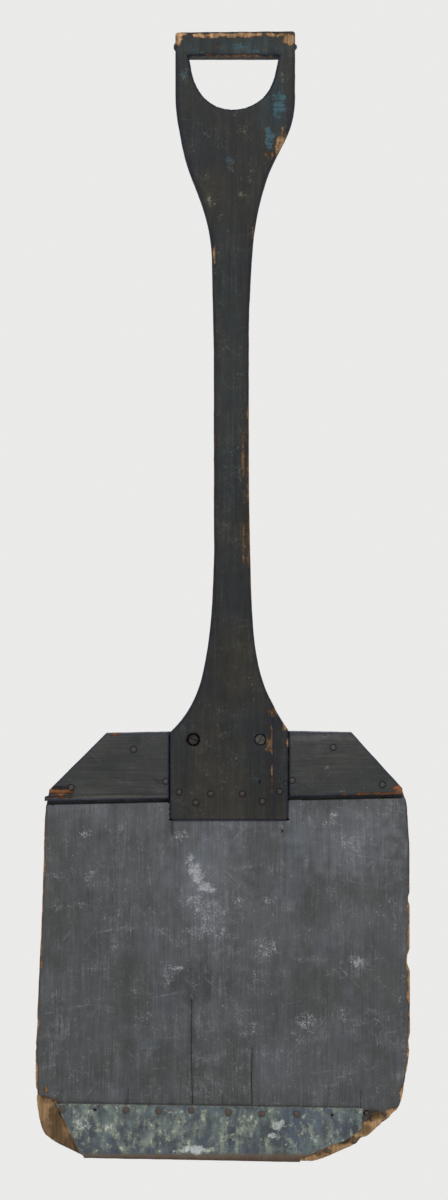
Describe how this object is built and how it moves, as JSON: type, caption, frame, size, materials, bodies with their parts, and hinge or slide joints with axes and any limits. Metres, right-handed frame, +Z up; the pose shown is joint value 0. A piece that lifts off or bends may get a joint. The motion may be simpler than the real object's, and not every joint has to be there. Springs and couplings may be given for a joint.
{
  "type": "grain scoop shovel",
  "caption": "Antique wooden grain shovel: flat plank handle with a D grip, let into a broad flat board blade with side wings and a nailed sheet-metal edge.",
  "frame": {"origin": "on the underside of the bar of the D grip, in the middle of the hand hole and of the 25 mm plank: the point by which the shovel hangs", "axes": "+Z up the handle towards the D grip, +X to the right seen from the front, -Y out of the painted working face, +Y out of the flat back"},
  "size_m": [0.3757, 0.025, 1.1325],
  "materials": {
    "handle_wood": "old dark green-black paint over pine, worn to bare wood on the arrises",
    "wing_wood": "old dark grey paint, worn at the tips and lower edges",
    "blade_wood": "chalky slate-grey paint, scuffed, with bare worn edges",
    "painted_sheet": "flaking slate paint over thin sheet iron, pale mottling and rusty lower edge",
    "screw_steel": "dull, lightly rusted",
    "rivet_iron": "dark, painted over",
    "nail_iron": "rusty"
  },
  "bodies": {
    "root": {"blade_board": "blade_wood", "edge_nail_1": "nail_iron", "edge_nail_2": "nail_iron", "edge_nail_3": "nail_iron", "edge_nail_4": "nail_iron", "edge_nail_5": "nail_iron", "edge_nail_6": "nail_iron", "edge_nail_7": "nail_iron", "edge_nail_8": "nail_iron", "foot_nail_1": "nail_iron", "foot_nail_2": "nail_iron", "foot_nail_3": "nail_iron", "foot_nail_4": "nail_iron", "foot_nail_5": "nail_iron", "foot_screw_left": "screw_steel", "foot_screw_right": "screw_steel", "foot_side_strip": "handle_wood", "grip_rivet": "rivet_iron", "handle": "handle_wood", "left_wing": "wing_wood", "left_wing_nail_inner": "nail_iron", "left_wing_nail_tip": "nail_iron", "left_wing_nail_top": "nail_iron", "metal_edge": "painted_sheet", "right_wing": "wing_wood", "right_wing_nail_inner": "nail_iron", "right_wing_nail_tip": "nail_iron", "right_wing_nail_top": "nail_iron", "rivet_burr": "rivet_iron", "side_strip_brad": "nail_iron", "side_strip_nail": "nail_iron"}
  },
  "joints": []
}
